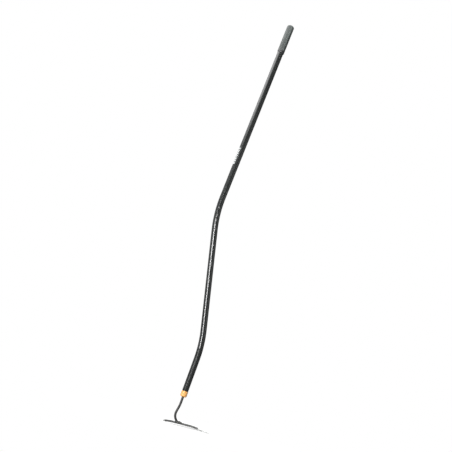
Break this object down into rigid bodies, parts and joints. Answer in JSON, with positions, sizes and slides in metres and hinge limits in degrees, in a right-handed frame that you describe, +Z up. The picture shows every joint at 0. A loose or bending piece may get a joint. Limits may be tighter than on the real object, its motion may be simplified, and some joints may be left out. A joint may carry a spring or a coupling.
{
  "type": "hand cultivator",
  "caption": "Long-handled hand cultivator: S-bent black tube handle, short soft grip, amber ferrule and goose-neck rod carrying an arched head with a hoe blade and tines.",
  "frame": {"origin": "on the flat underside of the head, directly below the foot of the neck rod", "axes": "+Z up, square to the flat middle of the head and roughly along the handle; +X towards the cutting edge of the hoe blade and the person using it; the tool is symmetric about the XZ plane"},
  "size_m": [0.1779, 0.076, 1.5143],
  "materials": {
    "powder_coat": "semi-gloss black powder coat",
    "soft_grip": "soft matt grey elastomer",
    "black_plastic": "satin black moulded plastic",
    "amber_plastic": "amber moulded plastic",
    "natural_plastic": "natural moulded nylon",
    "spring_steel": "bright spring steel",
    "coated_steel": "dark baked coat, ground bare towards the cutting edge",
    "weld_metal": "weld bead under the same dark coat"
  },
  "bodies": {
    "root": {"handle_tube": "powder_coat", "grip_sleeve": "soft_grip", "grip_collar": "black_plastic", "end_plug": "black_plastic", "ferrule": "amber_plastic", "tang_bushing": "natural_plastic", "retaining_pin": "spring_steel", "neck_rod": "coated_steel", "head_plate": "coated_steel", "weld_bead": "weld_metal"}
  },
  "joints": []
}
